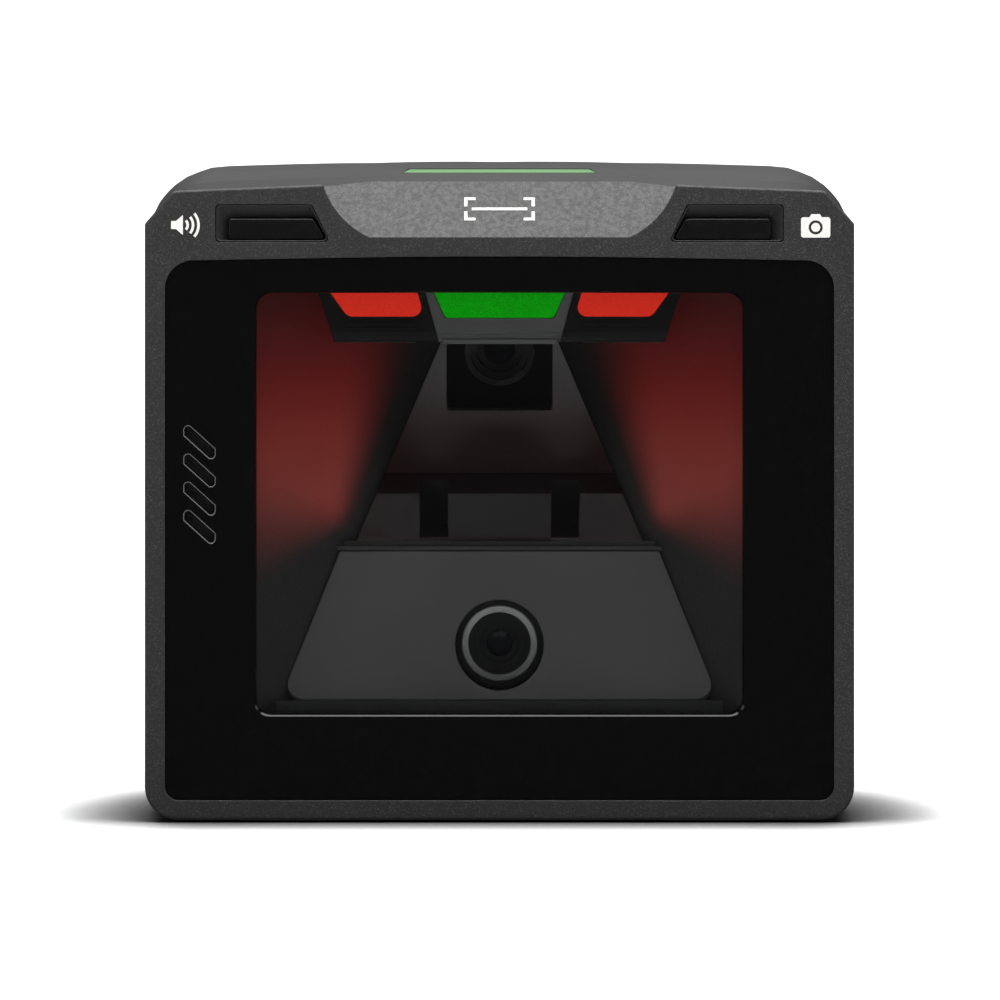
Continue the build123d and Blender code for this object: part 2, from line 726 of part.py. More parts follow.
def plunger(side):
    """Plunger of the tactile switch, pushed by the button's stem."""
    return rod_y(side * SWITCH_X, SWITCH_Z, 1.3, PLUNGER_FRONT, PLUNGER_FRONT + 1.8)


def volume_switch_plunger():
    return plunger(-1)


def camera_switch_plunger():
    return plunger(1)


def switch_bodies():
    """Tactile switch housings, open in the middle for their plungers."""
    front = BUTTON_BOARD_Y - SWITCH_DEPTH
    body = block(SWITCH_X - 3, SWITCH_X + 3, front, BUTTON_BOARD_Y, SWITCH_Z - 3, SWITCH_Z + 3)
    body -= rod_y(SWITCH_X, SWITCH_Z, 1.36, front - 1, BUTTON_BOARD_Y - 0.3)
    return pair(body)


def button_board():
    """Board along the brow that carries both switches."""
    return slab(Pos(0, 125.6) * RectangleRounded(118, 8.4, 1.0), BUTTON_BOARD_Y, BUTTON_BOARD_Y + 1.4)


# ---------------------------------------------------------------- sound

def speaker_mesh():
    """Dust mesh behind the sound slots."""
    z = SLOT_TOP - 1.5 * SLOT_PITCH
    return slab(Pos(SLOT_X, z) * RectangleRounded(11.5, 28.0, 1.0), BEZEL_BACK, BEZEL_BACK + 0.5)


def speaker_basket():
    """Oval loudspeaker basket with its magnet pot."""
    z = SLOT_TOP - 1.5 * SLOT_PITCH
    front = BEZEL_BACK + 0.5
    shell = slab(Pos(SLOT_X, z) * RectangleRounded(14.0, 30.0, 6.9), front, front + 4.0)
    shell -= slab(Pos(SLOT_X, z) * RectangleRounded(12.0, 28.0, 5.9), front - 1, front + 2.6)
    return shell + rod_y(SLOT_X, z, 5.0, front + 4.0, front + 7.0)


def speaker_cone():
    """Loudspeaker diaphragm."""
    z = SLOT_TOP - 1.5 * SLOT_PITCH
    front = BEZEL_BACK + 1.4
    cone = slab(Pos(SLOT_X, z) * RectangleRounded(11.8, 27.8, 5.8), front, front + 0.5)
    return cone + rod_y(SLOT_X, z, 3.4, front - 0.6, front)


# ---------------------------------------------------------------- rear cover

def cover_section(y, wide, high, corner, inset, crown=1.0):
    """Cross-section of the rear cover at one depth: a crowned box with large upper corners."""
    x = wide - inset
    top = high - inset
    low = inset
    round_top = corner - inset
    round_low = FOOT_RADIUS - inset
    cut = round_top * (1 - math.sqrt(0.5))
    low_cut = round_low * (1 - math.sqrt(0.5))
    side = x - round_top
    low_side = x - round_low
    edges = [
        Line((-low_side, low), (low_side, low)),
        ThreePointArc((low_side, low), (x - low_cut, low + low_cut), (x, low + round_low)),
        Line((x, low + round_low), (x, top - crown - round_top)),
        ThreePointArc((x, top - crown - round_top), (x - cut, top - crown - cut), (side, top - crown)),
        ThreePointArc((side, top - crown), (0, top), (-side, top - crown)),
        ThreePointArc((-side, top - crown), (-x + cut, top - crown - cut), (-x, top - crown - round_top)),
        Line((-x, top - crown - round_top), (-x, low + round_low)),
        ThreePointArc((-x, low + round_low), (-x + low_cut, low + low_cut), (-low_side, low)),
    ]
    return facing(y) * make_face(edges)


def cover_form(inset=0.0):
    """Rounded body of the rear cover, swept through a few cross-sections."""
    front = cover_section(FRAME_BACK, HALF - 0.6, BROW_HIGH + 0.6, 13.0, inset, 1.6)
    ridge = cover_section(RIDGE_Y, COVER_WIDE, RIDGE_HIGH, 14.6, inset, 1.3)
    body = loft([
        ridge,
        cover_section(-8.0, COVER_WIDE + 0.3, COVER_HIGH, 17.0, inset),
        cover_section(12.0, 73.4, 139.4, 20.0, inset),
        cover_section(29.0, 68.4, 134.0, 22.0, inset),
        cover_section(BACK - inset, 62.0, 125.0, 24.0, inset)])
    return loft([front, ridge], ruled=True) + body


def rear_cover():
    """Moulded shell behind the frame, with port, vent and screw openings at the back."""
    outer = cover_form()
    outer = fillet(edges_at_depth(outer, BACK), 5.0)
    shell = outer - cover_form(WALL)
    shell -= block(-HALF + WALL + 2, HALF - WALL - 2, FRAME_BACK - 1, FRAME_BACK + 3, WALL, 128.0)
    shell -= base_opening()
    shell -= slab(light_pipe_outline(GAP), FRONT, LIGHT_PIPE_BACK + GAP)
    shell -= light_pipe_leg(GAP)
    for x, (half_x, half_z) in ((HOST_X, HOST_HALF), (AUX_X, AUX_HALF)):
        mouth = Pos(x, PORT_Z) * RectangleRounded(2 * half_x + 1.2, 2 * half_z + 1.2, 1.0)
        shell -= slab(mouth, 30.0, BACK + 1)
    for index in range(7):
        shell -= slab(Pos(0, 92.0 + 3.6 * index) * RectangleRounded(46.0, 1.5, 0.7), 30.0, BACK + 3)
    shell -= slab(Pos(0, 58.0) * RectangleRounded(61.0, 33.0, 2.0), BACK - 0.6, BACK + 1)
    for x in (-CASE_SCREW_X, CASE_SCREW_X):
        for z in CASE_SCREW_Z:
            shell += rod_y(x, z, 5.0, CASE_SCREW_SEAT - 2.4, BACK - 2.0)
            shell -= rod_y(x, z, 3.4, CASE_SCREW_SEAT, BACK + 1)
            shell -= rod_y(x, z, 1.7, 30.0, BACK + 1)
    return shell


def light_pipe_outline(grow=0.0):
    """Front view of the status light behind the ridge, pointed at both ends."""
    return Polygon(
        (-20.6 - grow, LIGHT_PIPE_LOW - grow), (20.6 + grow, LIGHT_PIPE_LOW - grow),
        (19.4 + grow, LIGHT_PIPE_HIGH + grow), (-19.4 - grow, LIGHT_PIPE_HIGH + grow), align=None)


def light_pipe_leg(grow=0.0):
    """Leg of the light pipe that reaches down through the cover to its lamps."""
    return block(-18.0 - grow, 18.0 + grow, LIGHT_PIPE_BACK - 1.4 - grow, LIGHT_PIPE_BACK + grow,
                 LIGHT_PIPE_LOW - 3.2, LIGHT_PIPE_LOW + 0.2)


def status_light_pipe():
    """Clear strip that shows the read light above the brow."""
    strip = slab(light_pipe_outline(), FRAME_BACK, LIGHT_PIPE_BACK) & cover_form()
    return strip + light_pipe_leg()


def status_light_board():
    """Narrow board with the lamps behind the light pipe's leg."""
    front = LIGHT_PIPE_BACK
    return block(-22.0, 22.0, front, front + 1.2, LIGHT_PIPE_LOW - 6.4, LIGHT_PIPE_LOW - 1.9)


def base_opening():
    """Hole in the cover's underside for the base plate."""
    return plate(Pos(0, 1.0) * RectangleRounded(116.0, 46.0, 4.0), -1, WALL + 0.5)


def base_plate():
    """Bottom plate with the feet recesses and the bosses of the mounting inserts."""
    body = plate(Pos(0, 1.0) * RectangleRounded(116.0 - 2 * GAP, 46.0 - 2 * GAP, 4.0 - GAP), 0, WALL)
    body += plate(Pos(0, 1.0) * RectangleRounded(121.0, 50.0, 4.0), WALL, WALL + 1.4)
    for x, y in insert_places():
        body += rod_z(x, y, 4.4, WALL, 9.6)
        body -= rod_z(x, y, INSERT_OUTER, -1, INSERT_HIGH)
    for x, y in base_screw_places():
        body -= rod_z(x, y, 3.1, -1, 2.0)
        body -= rod_z(x, y, 1.6, -1, 8.0)
    for foot in rear_foot_places():
        body -= foot_pad(foot, GAP)
    return body


def insert_places():
    """Centres of the four mounting inserts."""
    return [(x, y) for x in (-INSERT_X, INSERT_X) for y in (-INSERT_Y, INSERT_Y)]


def base_screw_places():
    """Centres of the four base screws."""
    return [(x, y) for x in (-50.0, 50.0) for y in (-17.0, 0.0)]


def threaded_inserts():
    """Brass M3 inserts for a stand or counter bracket."""
    return group(rod_z(x, y, INSERT_OUTER - 0.02, INSERT_LOW, INSERT_HIGH) - rod_z(x, y, INSERT_BORE, -1, 9)
                 for x, y in insert_places())


def base_screws():
    """Pan-head screws that hold the base plate."""
    screws = []
    for x, y in base_screw_places():
        screw = rod_z(x, y, 2.8, 0.5, 2.0) + rod_z(x, y, 1.5, 2.0, 8.0)
        screws.append(screw - plate(Pos(x, y) * Rectangle(3.2, 0.7), 0, 1.2))
    return group(screws)


def front_foot_places():
    return [(-45.0, -33.6), (45.0, -33.6)]


def rear_foot_places():
    return [(-45.0, 17.0), (45.0, 17.0)]


def foot_pad(centre, grow=0.0):
    """Rubber foot, sunk a little into the underside."""
    shape = RectangleRounded(22.0 + 2 * grow, 6.6 + 2 * grow, 3.2)
    return plate(Pos(*centre) * shape, -STAND, 0.8)


def rubber_feet():
    """Four strip feet."""
    pads = []
    for centre in front_foot_places() + rear_foot_places():
        pad = foot_pad(centre)
        low = [edge for edge in pad.edges() if edge.bounding_box().max.Z < -STAND + 0.01]
        pads.append(fillet(low, 0.3))
    return group(pads)


def label_plate():
    """Blank rating-label area on the back."""
    return slab(Pos(0, 58.0) * RectangleRounded(60.0, 32.0, 1.6), BACK - 0.6, BACK - 0.3)


def case_screws():
    """Screws through the back of the cover into the bracket."""
    screws = []
    for x in (-CASE_SCREW_X, CASE_SCREW_X):
        for z in CASE_SCREW_Z:
            head = rod_y(x, z, 3.0, CASE_SCREW_SEAT, CASE_SCREW_SEAT + 2.0)
            head += rod_y(x, z, 1.5, 28.2, CASE_SCREW_SEAT)
            cross = Pos(x, z) * (Rectangle(3.4, 0.8) + Rectangle(0.8, 3.4))
            slot = slab(cross, CASE_SCREW_SEAT + 1.0, CASE_SCREW_SEAT + 3.0)
            screws.append(head - slot)
    return group(screws)


# ---------------------------------------------------------------- electronics

def main_bracket():
    """Sheet bracket that carries the main board and takes the case screws."""
    sheet = slab(Pos(0, 47.0) * RectangleRounded(102.0, 82.0, 4.0), 25.4, 26.4)
    sheet -= slab(Pos(0, 47.0) * RectangleRounded(60.0, 50.0, 4.0), 20, 30)
    for x in (-CASE_SCREW_X, CASE_SCREW_X):
        for z in CASE_SCREW_Z:
            sheet += rod_y(x, z, 3.4, 26.4, CASE_SCREW_SEAT - 2.5)
            sheet -= rod_y(x, z, 1.52, 27.0, 37.0)
    return sheet


def board_screw_places():
    return [(x, z) for x in (-35.0, 35.0) for z in (13.0, 81.0)]


def main_board():
    """Main circuit board."""
    sheet = RectangleRounded(2 * BOARD_X, BOARD_HIGH - BOARD_LOW, 2.0)
    board = slab(Pos(0, (BOARD_LOW + BOARD_HIGH) / 2) * sheet, BOARD_FRONT, BOARD_BACK)
    for x, z in board_screw_places():
        board -= rod_y(x, z, 1.6, 20, 35)
    return board


def board_screws():
    """Screws and spacers between the main board and the bracket."""
    return group(rod_y(x, z, 2.6, BOARD_BACK, 31.2) + rod_y(x, z, 1.5, 26.4, BOARD_BACK)
                 for x, z in board_screw_places())


def processor():
    """Decoder chip under its shield."""
    return slab(Pos(0, 56.0) * RectangleRounded(20.0, 20.0, 1.0), BOARD_BACK, BOARD_BACK + 2.4)


def heat_spreader():
    """Finned aluminium spreader on the decoder chip."""
    base = BOARD_BACK + 2.4
    body = slab(Pos(0, 56.0) * Rectangle(24.0, 24.0), base, base + 1.2)
    for index in range(7):
        body += block(-12.0 + 3.7 * index, -10.8 + 3.7 * index, base + 1.2, base + 4.4, 44.0, 68.0)
    return body


def board_parts():
    """Memory chips, inductors and the internal cable sockets."""
    chips = [(-27.0, 60.0, 12.0, 9.0, 1.2), (-27.0, 46.0, 12.0, 9.0, 1.2), (25.0, 62.0, 8.0, 8.0, 3.0),
             (25.0, 50.0, 6.0, 6.0, 2.4), (0.0, 34.0, 16.0, 4.0, 3.2), (-26.0, 32.0, 10.0, 4.0, 3.2)]
    return group(slab(Pos(x, z) * Rectangle(w, h), BOARD_BACK, BOARD_BACK + t) for x, z, w, h, t in chips)


def port_shell(x, half, mouth, floor):
    """Socket housing with a rectangular mouth open to the back."""
    half_x, half_z = half
    mouth_x, mouth_z = mouth
    body = slab(Pos(x, PORT_Z) * Rectangle(2 * half_x, 2 * half_z), BOARD_BACK, BACK - 0.8)
    return body - slab(Pos(x, PORT_Z) * RectangleRounded(2 * mouth_x, 2 * mouth_z, 0.6), floor, BACK + 1)


def host_port():
    """Modular host-cable socket with its contact comb."""
    body = port_shell(HOST_X, HOST_HALF, (5.9, 4.1), 31.4)
    body -= slab(Pos(HOST_X, PORT_Z - 4.6) * Rectangle(6.0, 2.4), 31.4, BACK + 1)
    return body


def host_contacts():
    """Ten gold contacts along the roof of the host socket."""
    return group(block(HOST_X - 4.75 + 1.05 * index, HOST_X - 4.35 + 1.05 * index, 31.4, 39.0,
                       PORT_Z + 3.5, PORT_Z + 4.1) for index in range(10))


def aux_port():
    """Auxiliary flat socket."""
    return port_shell(AUX_X, AUX_HALF, (6.6, 3.6), 31.4)


def aux_tongue():
    """Contact tongue inside the auxiliary socket."""
    return block(AUX_X - 5.4, AUX_X + 5.4, 31.4, 39.6, PORT_Z + 1.3, PORT_Z + 2.7)


# ---------------------------------------------------------------- writing the sub-parts

SUBPARTS = [
    front_frame, window_bezel, scan_window, window_gasket, optics_chassis, lower_panel, mirror_ledge,
    fold_mirror, mirror_carrier, ceiling_plate, light_housing, red_diffuser_left, red_diffuser_right,
    green_diffuser, led_board, red_leds, green_leds, imager_shroud, imager_barrel, imager_lens,
    imager_board, imager_flex, camera_holder, camera_ring, camera_barrel, camera_lens, camera_board,
    button_surround_left, button_surround_right, volume_button, camera_button, volume_switch_plunger,
    camera_switch_plunger, switch_bodies, button_board, speaker_mesh, speaker_basket, speaker_cone,
    rear_cover, status_light_pipe, status_light_board, base_plate, threaded_inserts, base_screws,
    rubber_feet, label_plate, case_screws, main_bracket, main_board, board_screws, processor,
    heat_spreader, board_parts, host_port, host_contacts, aux_port, aux_tongue, scan_pictogram,
    speaker_icon, camera_icon,
]


def main():
    os.makedirs("parts", exist_ok=True)
    for make in SUBPARTS:
        export_step(Pos(0, 0, STAND) * make(), os.path.join("parts", make.__name__ + ".step"))


if __name__ == "__main__":
    main()
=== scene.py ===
import math

import bpy
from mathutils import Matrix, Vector


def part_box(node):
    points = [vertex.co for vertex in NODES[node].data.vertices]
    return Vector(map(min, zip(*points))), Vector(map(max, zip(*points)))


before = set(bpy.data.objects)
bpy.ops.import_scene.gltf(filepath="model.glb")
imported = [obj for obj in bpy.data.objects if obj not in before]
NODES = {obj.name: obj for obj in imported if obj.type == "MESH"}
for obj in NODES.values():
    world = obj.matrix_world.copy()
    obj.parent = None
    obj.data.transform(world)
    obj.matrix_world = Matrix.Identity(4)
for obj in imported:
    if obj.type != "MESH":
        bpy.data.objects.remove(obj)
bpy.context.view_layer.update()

FRONT_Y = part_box("front_frame")[0][1]


# ---------------------------------------------------------------- node helpers

class Net:
    """Small builder for one material's node tree."""

    def __init__(self, name):
        self.mat = bpy.data.materials.new(name)
        self.mat.use_nodes = True
        self.tree = self.mat.node_tree
        self.tree.nodes.clear()
        self.place = self.node("ShaderNodeTexCoord").outputs["Object"]
        self.out = self.node("ShaderNodeOutputMaterial")

    def node(self, kind, **settings):
        made = self.tree.nodes.new(kind)
        for key, value in settings.items():
            setattr(made, key, value)
        return made

    def join(self, source, target):
        self.tree.links.new(source, target)

    def feed(self, target, value):
        """Links a socket, or sets a constant on it."""
        if isinstance(value, bpy.types.NodeSocket):
            self.join(value, target)
        else:
            target.default_value = value

    def math(self, operation, first, second=0.0):
        made = self.node("ShaderNodeMath", operation=operation)
        self.feed(made.inputs[0], first)
        self.feed(made.inputs[1], second)
        return made.outputs[0]

    def noise(self, scale, detail=2.0, roughness=0.5, place=None):
        made = self.node("ShaderNodeTexNoise")
        self.join(place or self.place, made.inputs["Vector"])
        made.inputs["Scale"].default_value = scale
        made.inputs["Detail"].default_value = detail
        made.inputs["Roughness"].default_value = roughness
        return made.outputs["Fac"]

    def cells(self, scale, feature="F1"):
        made = self.node("ShaderNodeTexVoronoi", feature=feature)
        self.join(self.place, made.inputs["Vector"])
        made.inputs["Scale"].default_value = scale
        return made.outputs["Distance"]

    def ramp(self, factor, low, high, start, end):
        """Smooth blend from start to end while factor goes from low to high."""
        made = self.node("ShaderNodeMapRange", interpolation_type="SMOOTHSTEP")
        self.feed(made.inputs["Value"], factor)
        made.inputs["From Min"].default_value = low
        made.inputs["From Max"].default_value = high
        made.inputs["To Min"].default_value = start
        made.inputs["To Max"].default_value = end
        return made.outputs["Result"]

    def blend(self, factor, first, second, mode="MIX"):
        made = self.node("ShaderNodeMix", data_type="RGBA", blend_type=mode)
        self.feed(made.inputs["Factor"], factor)
        self.feed(made.inputs["A"], rgba(first))
        self.feed(made.inputs["B"], rgba(second))
        return made.outputs["Result"]

    def axes(self):
        made = self.node("ShaderNodeSeparateXYZ")
        self.join(self.place, made.inputs[0])
        return made.outputs

    def bump(self, height, depth, strength=1.0, normal=None):
        made = self.node("ShaderNodeBump")
        self.join(height, made.inputs["Height"])
        made.inputs["Distance"].default_value = depth
        made.inputs["Strength"].default_value = strength
        if normal is not None:
            self.join(normal, made.inputs["Normal"])
        return made.outputs["Normal"]

    def edge(self, radius):
        """Softened normals that round every sharp edge a little."""
        made = self.node("ShaderNodeBevel", samples=4)
        made.inputs["Radius"].default_value = radius
        return made.outputs["Normal"]

    def surface(self, **inputs):
        made = self.node("ShaderNodeBsdfPrincipled")
        for key, value in inputs.items():
            self.feed(made.inputs[key.replace("_", " ")], value)
        self.join(made.outputs[0], self.out.inputs["Surface"])
        return made


def rgba(value):
    """A colour with alpha, or the socket as it is."""
    if isinstance(value, bpy.types.NodeSocket):
        return value
    return (*value, 1.0) if len(value) == 3 else value


def grey(level, warm=0.0):
    return (level * (1 + warm), level, level * (1 - warm))


def shade(color, factor):
    return tuple(channel * factor for channel in color)


# ---------------------------------------------------------------- materials

def grained_plastic(name, color, rough, grain=2600.0, depth=0.00006, sparkle=0.5, edge=0.0003):
    """Spark-eroded moulded plastic: fine pits, bright specks and lightly rubbed edges."""
    net = Net(name)
    fine = net.noise(grain, 3.0, 0.6)
    coarse = net.noise(grain / 3.5, 2.0, 0.5)
    cloud = net.noise(38.0, 3.0, 0.55)
    grain_height = net.math("ADD", net.math("MULTIPLY", fine, 0.7), net.math("MULTIPLY", coarse, 0.3))
    specks = net.ramp(fine, 0.54, 0.68, 0.0, sparkle)
    base = net.blend(net.ramp(cloud, 0.3, 0.7, 0.0, 1.0), shade(color, 0.96), shade(color, 1.04))
    base = net.blend(net.ramp(coarse, 0.35, 0.65, 0.0, 0.4), base, shade(color, 0.7))
    base = net.blend(specks, base, shade(color, 3.2))
    normal = net.bump(grain_height, depth, 1.0, net.edge(edge))
    gloss = net.ramp(coarse, 0.3, 0.7, rough - 0.06, rough + 0.08)
    net.surface(Base_Color=base, Roughness=gloss, Normal=normal, IOR=1.5)
    return net.mat


def satin_plastic(name, color, rough, edge=0.0003):
    """Smooth satin moulded plastic: an even sheen with barely visible flow and dust."""
    net = Net(name)
    flow = net.noise(30.0, 2.0, 0.4)
    dust = net.noise(1100.0, 4.0, 0.65)
    base = net.blend(net.ramp(flow, 0.3, 0.7, 0.0, 1.0), shade(color, 0.94), shade(color, 1.06))
    base = net.blend(net.ramp(dust, 0.6, 0.8, 0.0, 0.5), base, shade(color, 1.6))
    gloss = net.ramp(flow, 0.3, 0.7, rough - 0.02, rough + 0.03)
    normal = net.bump(dust, 0.000008, 0.5, net.edge(edge))
    net.surface(Base_Color=base, Roughness=gloss, Normal=normal, IOR=1.5)
    return net.mat


def hood_plastic(name, middle, sides, rough):
    """Light housing: a satin grey centre block between darker, glossier wings."""
    net = Net(name)
    x, y, z = net.axes()
    flow = net.noise(30.0, 2.0, 0.4)
    block_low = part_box("green_diffuser")[0][2]
    block_half, block_flare, nose_depth = 0.0143, 0.27, 0.0098
    flare = net.math("MULTIPLY", net.math("SUBTRACT", z, block_low), block_flare)
    edge_x = net.math("ADD", flare, block_half)
    beyond = net.math("SUBTRACT", net.math("ABSOLUTE", x), edge_x)
    nose_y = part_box("light_housing")[0][1] + nose_depth
    outside = net.ramp(beyond, -0.0001, 0.0002, 0.0, 1.0)
    wing = net.math("MULTIPLY", outside, net.ramp(y, nose_y, nose_y + 0.0004, 1.0, 0.0))
    tone = net.blend(net.ramp(flow, 0.3, 0.7, 0.0, 1.0), shade(middle, 0.94), shade(middle, 1.06))
    gloss = net.ramp(wing, 0.0, 1.0, rough, rough - 0.14)
    net.surface(Base_Color=net.blend(wing, tone, sides), Roughness=gloss, Normal=net.edge(0.0003), IOR=1.5)
    return net.mat


def polished_plastic(name, color, rough=0.06, edge=0.00025):
    """Piano-black plastic with faint moulding waves and fine wiping haze."""
    net = Net(name)
    wave = net.noise(24.0, 2.0, 0.4)
    haze = net.noise(420.0, 3.0, 0.6)
    normal = net.bump(wave, 0.00004, 0.6, net.edge(edge))
    gloss = net.ramp(haze, 0.35, 0.75, rough, rough + 0.05)
    base = net.blend(net.ramp(haze, 0.4, 0.8, 0.0, 1.0), color, shade(color, 1.5))
    net.surface(Base_Color=base, Roughness=gloss, Normal=normal, IOR=1.36)
    return net.mat


def bezel_plastic(name, color, lip_highlight, rough=0.06):
    """Piano-black plastic whose chamfered sound-slot lips carry a painted highlight: a paler colour than the
    polished face where they would catch light.
    """
    net = Net(name)
    x, y, z = net.axes()
    facing = net.node("ShaderNodeSeparateXYZ")
    net.join(net.node("ShaderNodeNewGeometry").outputs["True Normal"], facing.inputs[0])
    front = net.math("ABSOLUTE", facing.outputs["Y"])
    tilted = net.ramp(front, 0.45, 0.55, 0.0, 1.0)
    # Painted highlight: chamfer faces of the sound slots, left of the window, get the paler lip colour where
    # they would catch light.
    chamfer = net.math("MULTIPLY", tilted, net.ramp(front, 0.85, 0.92, 1.0, 0.0))
    side_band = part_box("scan_window")[0][0]
    slot_lip_highlight = net.math("MULTIPLY", chamfer, net.ramp(x, side_band - 0.003, side_band - 0.002, 1.0, 0.0))
    wave = net.noise(24.0, 2.0, 0.4)
    haze = net.noise(420.0, 3.0, 0.6)
    face = net.blend(net.ramp(haze, 0.4, 0.8, 0.0, 1.0), color, shade(color, 1.5))
    gloss = net.ramp(haze, 0.35, 0.75, rough, rough + 0.05)
    normal = net.bump(wave, 0.00004, 0.6, net.edge(0.00015))
    net.surface(Base_Color=net.blend(slot_lip_highlight, face, lip_highlight), Roughness=gloss, Normal=normal, IOR=1.36)
    return net.mat


def metal(name, color, rough, grain_stretch=(1.0, 1.0, 1.0), grain=900.0):
    """Plated or anodised metal with fine directional brushing."""
    net = Net(name)
    mapping = net.node("ShaderNodeMapping")
    net.join(net.place, mapping.inputs["Vector"])
    mapping.inputs["Scale"].default_value = grain_stretch
    brushed = net.noise(grain, 3.0, 0.6, mapping.outputs[0])
    stain = net.noise(90.0, 3.0, 0.5)
    base = net.blend(net.ramp(stain, 0.3, 0.8, 0.0, 1.0), color, shade(color, 0.72))
    gloss = net.ramp(brushed, 0.3, 0.7, rough - 0.08, rough + 0.1)
    normal = net.bump(brushed, 0.00002, 0.7, net.edge(0.0002))
    net.surface(Base_Color=base, Metallic=1.0, Roughness=gloss, Normal=normal)
    return net.mat


def rubber(name, color):
    """Soft rubber or foam with closed pores and dust in the low spots."""
    net = Net(name)
    pores = net.cells(1500.0)
    dust = net.noise(160.0, 4.0, 0.6)
    base = net.blend(net.ramp(dust, 0.45, 0.75, 0.0, 0.6), color, shade(color, 2.2))
    normal = net.bump(pores, 0.00005, 0.8, net.edge(0.0003))
    net.surface(Base_Color=base, Roughness=net.ramp(dust, 0.3, 0.8, 0.7, 0.92), Normal=normal)
    return net.mat


def circuit_board(name, color):
    """Solder mask over copper tracks."""
    net = Net(name)
    tracks = net.cells(260.0, "DISTANCE_TO_EDGE")
    weave = net.noise(900.0, 2.0, 0.5)
    line = net.ramp(tracks, 0.04, 0.09, 1.0, 0.0)
    base = net.blend(line, color, shade(color, 2.0))
    base = net.blend(net.ramp(weave, 0.4, 0.7, 0.0, 0.5), base, shade(color, 0.7))
    normal = net.bump(line, 0.00003, 0.8)
    net.surface(Base_Color=base, Roughness=net.ramp(weave, 0.3, 0.7, 0.28, 0.42), Normal=normal)
    return net.mat


def diffuser_plastic(name, color, glow, rough, frost, mottled):
    """Frosted lens with its own emission, in place of lamps behind it, brighter towards its lower edge."""
    net = Net(name)
    x, y, z = net.axes()
    grain = net.noise(2600.0, 3.0, 0.65)
    lower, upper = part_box("green_diffuser")[0][2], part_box("green_diffuser")[1][2]
    fall = net.ramp(z, lower, upper, 1.0, 0.82)
    level = net.math("MULTIPLY", fall, net.ramp(grain, 0.3, 0.7, 1.0 - mottled, 1.0 + mottled))
    shine = net.blend(1.0, color, level_color(net, level), "MULTIPLY")
    normal = net.bump(grain, 0.00005, frost, net.edge(0.0003))
    body = net.blend(net.ramp(grain, 0.35, 0.65, 0.0, 1.0), shade(color, 0.35), shade(color, 0.55))
    gloss = net.ramp(grain, 0.3, 0.7, rough - 0.05, rough + 0.1)
    net.surface(Base_Color=body, Roughness=gloss, Normal=normal, IOR=1.3,
                Emission_Color=shine, Emission_Strength=glow)
    return net.mat


def level_color(net, level):
    """Grey colour made from one number."""
    made = net.node("ShaderNodeCombineColor")
    for socket in made.inputs:
        net.join(level, socket)
    return made.outputs[0]


def light_pipe_plastic(name):
    """Clear status strip that glows by its own emission in place of the lamp behind it: pale green core,
    darker rim.
    """
    net = Net(name)
    x, y, z = net.axes()
    low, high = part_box("status_light_pipe")
    middle = (low[2] + high[2]) / 2
    off_centre = net.math("ABSOLUTE", net.math("SUBTRACT", z, middle))
    core = net.ramp(off_centre, 0.0, (high[2] - low[2]) / 2, 1.0, 0.25)
    ends = net.ramp(net.math("ABSOLUTE", x), high[0] * 0.8, high[0], 1.0, 0.45)
    grain = net.noise(1800.0, 2.0, 0.5)
    level = net.math("MULTIPLY", core, ends)
    color = net.blend(level, (0.05, 0.17, 0.04), (0.22, 0.52, 0.16))
    net.surface(Base_Color=net.blend(grain, (0.03, 0.10, 0.03), (0.05, 0.15, 0.04)), Roughness=0.3,
                Emission_Color=color, Emission_Strength=0.5, Normal=net.bump(grain, 0.00002, 0.5))
    return net.mat


